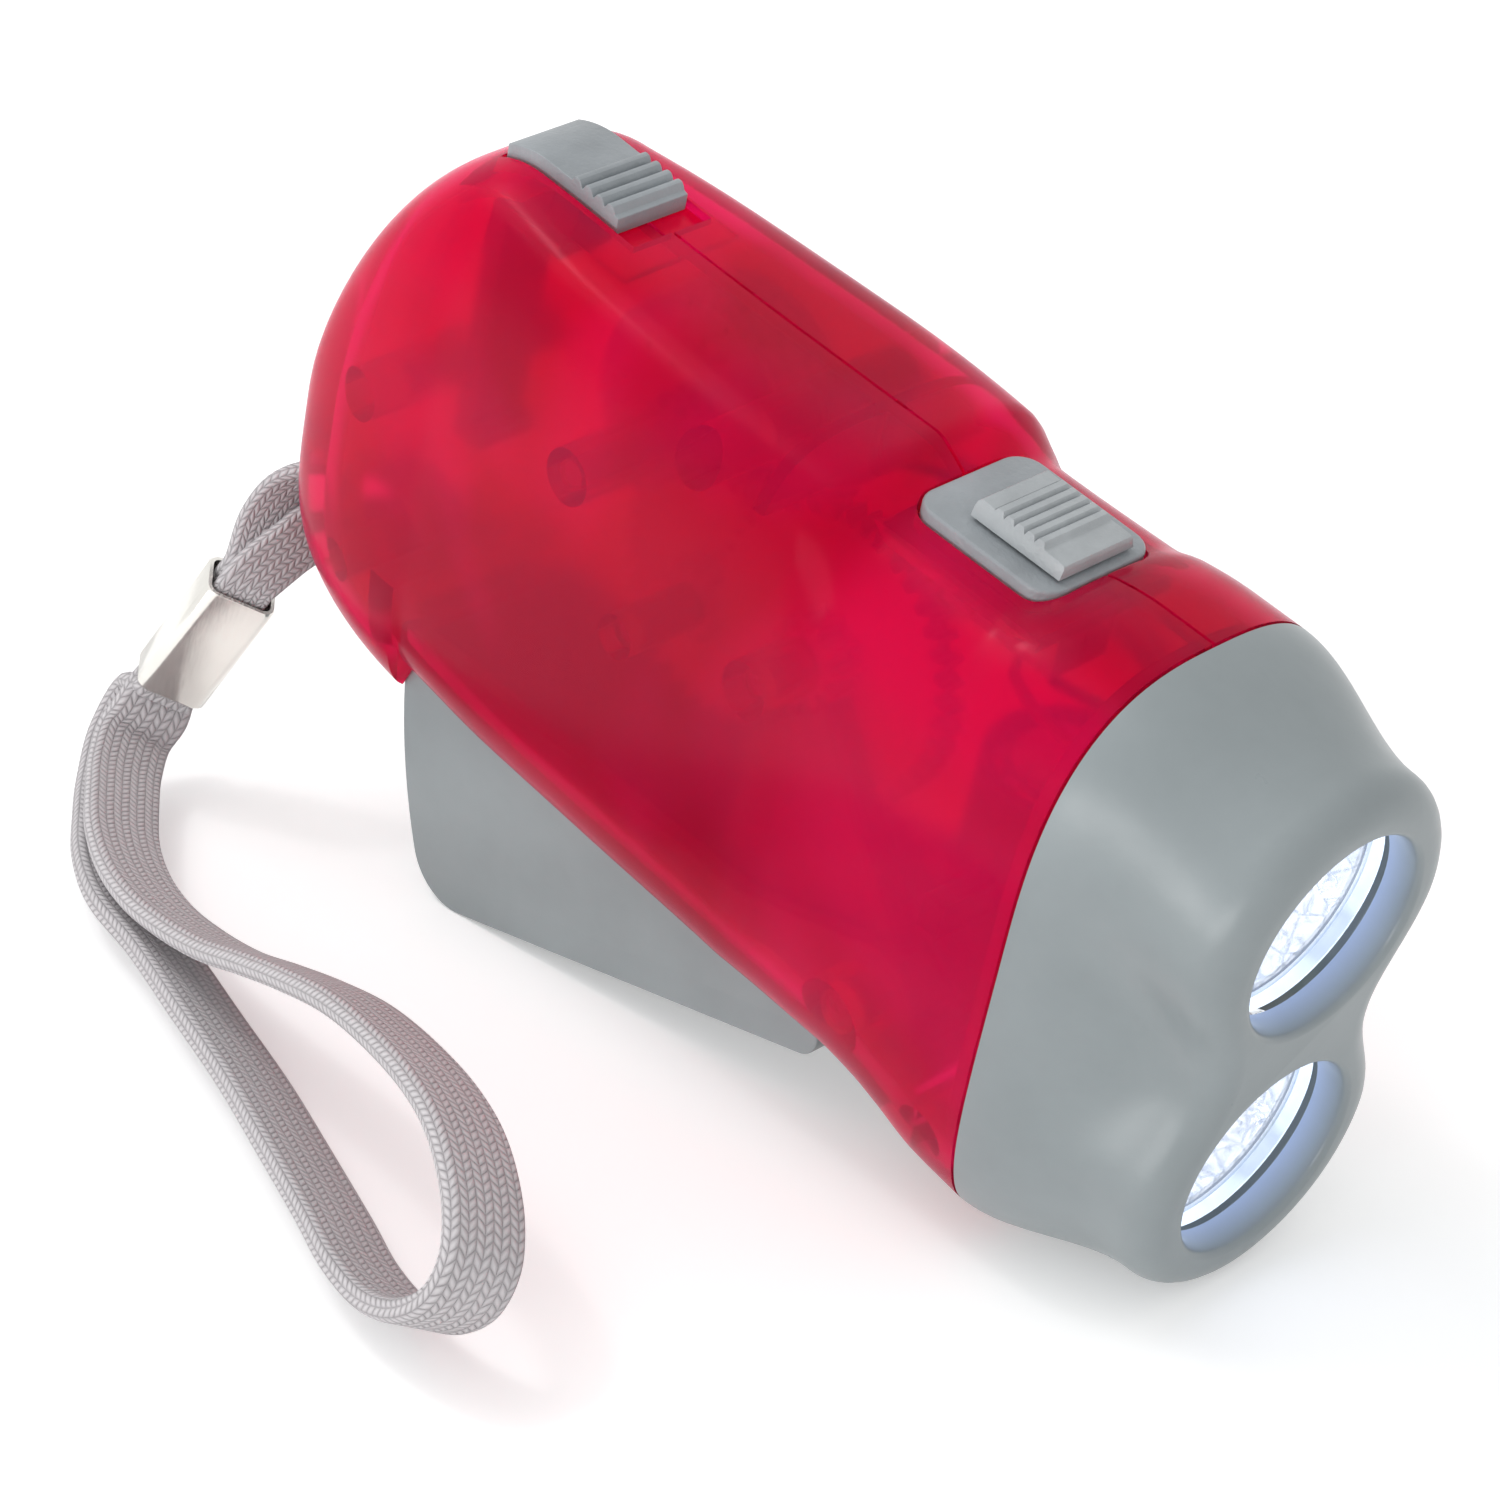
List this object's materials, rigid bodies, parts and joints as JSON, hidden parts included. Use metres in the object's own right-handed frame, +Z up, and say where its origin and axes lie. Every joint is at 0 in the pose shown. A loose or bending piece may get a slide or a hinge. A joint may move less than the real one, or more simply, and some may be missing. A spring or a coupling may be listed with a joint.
{
  "type": "squeeze flashlight",
  "caption": "Hand flashlight with a translucent red body, grey figure-eight head, squeeze lever that drives a small generator, lock and switch sliders and a flat wrist strap.",
  "frame": {"origin": "centre of the footprint's bounding box, on the surface the flashlight stands on, measured without the strap", "axes": "+X forward, the way the lamps face; +Z up; +Y to the flashlight's left. The body is tipped 12.3 degrees nose down, as it stands on the heel of its open lever and on the head's lower rim."},
  "size_m": [0.1256, 0.0712, 0.0691],
  "materials": {
    "shell_red": "translucent crimson, glossy",
    "grey_plastic": "mid grey, satin",
    "slider_grey": "light grey, fine sparkle",
    "lens_clear": "clear, polished",
    "reflector_silver": "metallised mirror",
    "lamp_clear": "water clear",
    "board_green": "glass fibre board with lacquer",
    "gear_white": "moulded natural white",
    "plated_steel": "zinc plated",
    "magnet_dark": "sintered ferrite",
    "winding_copper": "enamelled copper wire",
    "black_plastic": "moulded black",
    "cell_nickel": "nickel plated can",
    "lead_red": "soft insulation",
    "lead_black": "soft insulation",
    "strap_cloth": "mauve-grey flat braid",
    "ferrule_silver": "nickel plated"
  },
  "bodies": {
    "body": {"right_shell": "shell_red", "left_shell": "shell_red", "shell_screw_tail": "plated_steel", "shell_screw_top": "plated_steel", "shell_screw_front": "plated_steel", "head_bezel": "grey_plastic", "lens_upper": "lens_clear", "lens_lower": "lens_clear", "reflector_upper": "reflector_silver", "reflector_lower": "reflector_silver", "led_upper": "lamp_clear", "led_lower": "lamp_clear", "led_board": "board_green", "lever_pivot_pin": "plated_steel", "return_spring": "plated_steel", "first_axle": "plated_steel", "second_axle": "plated_steel", "rotor_axle": "plated_steel", "claw_plate_inner": "plated_steel", "claw_plate_outer": "plated_steel", "coil_bobbin": "black_plastic", "coil_winding": "winding_copper", "switch_plate": "slider_grey", "slide_switch": "plated_steel", "cell_holder": "black_plastic", "cell_1": "cell_nickel", "cell_2": "cell_nickel", "cell_3": "cell_nickel", "contact_upper": "plated_steel", "contact_lower": "plated_steel", "diode_1": "black_plastic", "diode_2": "black_plastic", "diode_3": "black_plastic", "diode_4": "black_plastic", "generator_lead_1": "lead_red", "generator_lead_2": "lead_black", "switch_lead_1": "lead_red", "switch_lead_2": "lead_black", "cell_lead_upper": "lead_red", "cell_lead_lower": "lead_black", "strap_neck": "strap_cloth", "strap_ferrule": "ferrule_silver", "wrist_strap": "strap_cloth"},
    "lever": {"squeeze_lever": "grey_plastic"},
    "first_wheel": {"first_gear": "gear_white"},
    "second_wheel": {"second_gear": "gear_white"},
    "rotor": {"rotor_flywheel": "plated_steel", "rotor_magnet": "magnet_dark"},
    "lock": {"lock_slider": "slider_grey"},
    "thumb": {"switch_thumb": "slider_grey"}
  },
  "joints": [
    {"name": "lever_squeeze", "type": "hinge", "parent": "body", "child": "lever", "pos_m": [0.01481, 0, 0.01498], "axis": [0, 1, 0], "range_deg": [0, 20.4], "stiffness_Nm_per_rad": 0.28, "springref_deg": -30.71, "deforming": ["return_spring"]},
    {"name": "first_gear_spin", "type": "hinge", "parent": "body", "child": "first_wheel", "pos_m": [0.00434, 0, 0.03888], "axis": [0, 1, 0], "range_deg": [-140.95, 0]},
    {"name": "second_gear_spin", "type": "hinge", "parent": "body", "child": "second_wheel", "pos_m": [-0.01057, 0, 0.03725], "axis": [0, 1, 0], "range_deg": [0, 563.8]},
    {"name": "rotor_spin", "type": "hinge", "parent": "body", "child": "rotor", "pos_m": [-0.01656, 0, 0.04868], "axis": [0, 1, 0], "range_deg": [-2129.9, 0]},
    {"name": "lock_slide", "type": "slide", "parent": "body", "child": "lock", "axis": [0.9769, 0, -0.2139], "range_m": [0, 0.0022]},
    {"name": "switch_slide", "type": "slide", "parent": "body", "child": "thumb", "axis": [-0.9769, 0, 0.2139], "range_m": [0, 0.004]}
  ],
  "couplings": [
    {"joint": "first_gear_spin", "follows": "lever_squeeze", "ratio": -6.9091},
    {"joint": "second_gear_spin", "follows": "lever_squeeze", "ratio": 27.636},
    {"joint": "rotor_spin", "follows": "lever_squeeze", "ratio": -104.4}
  ]
}
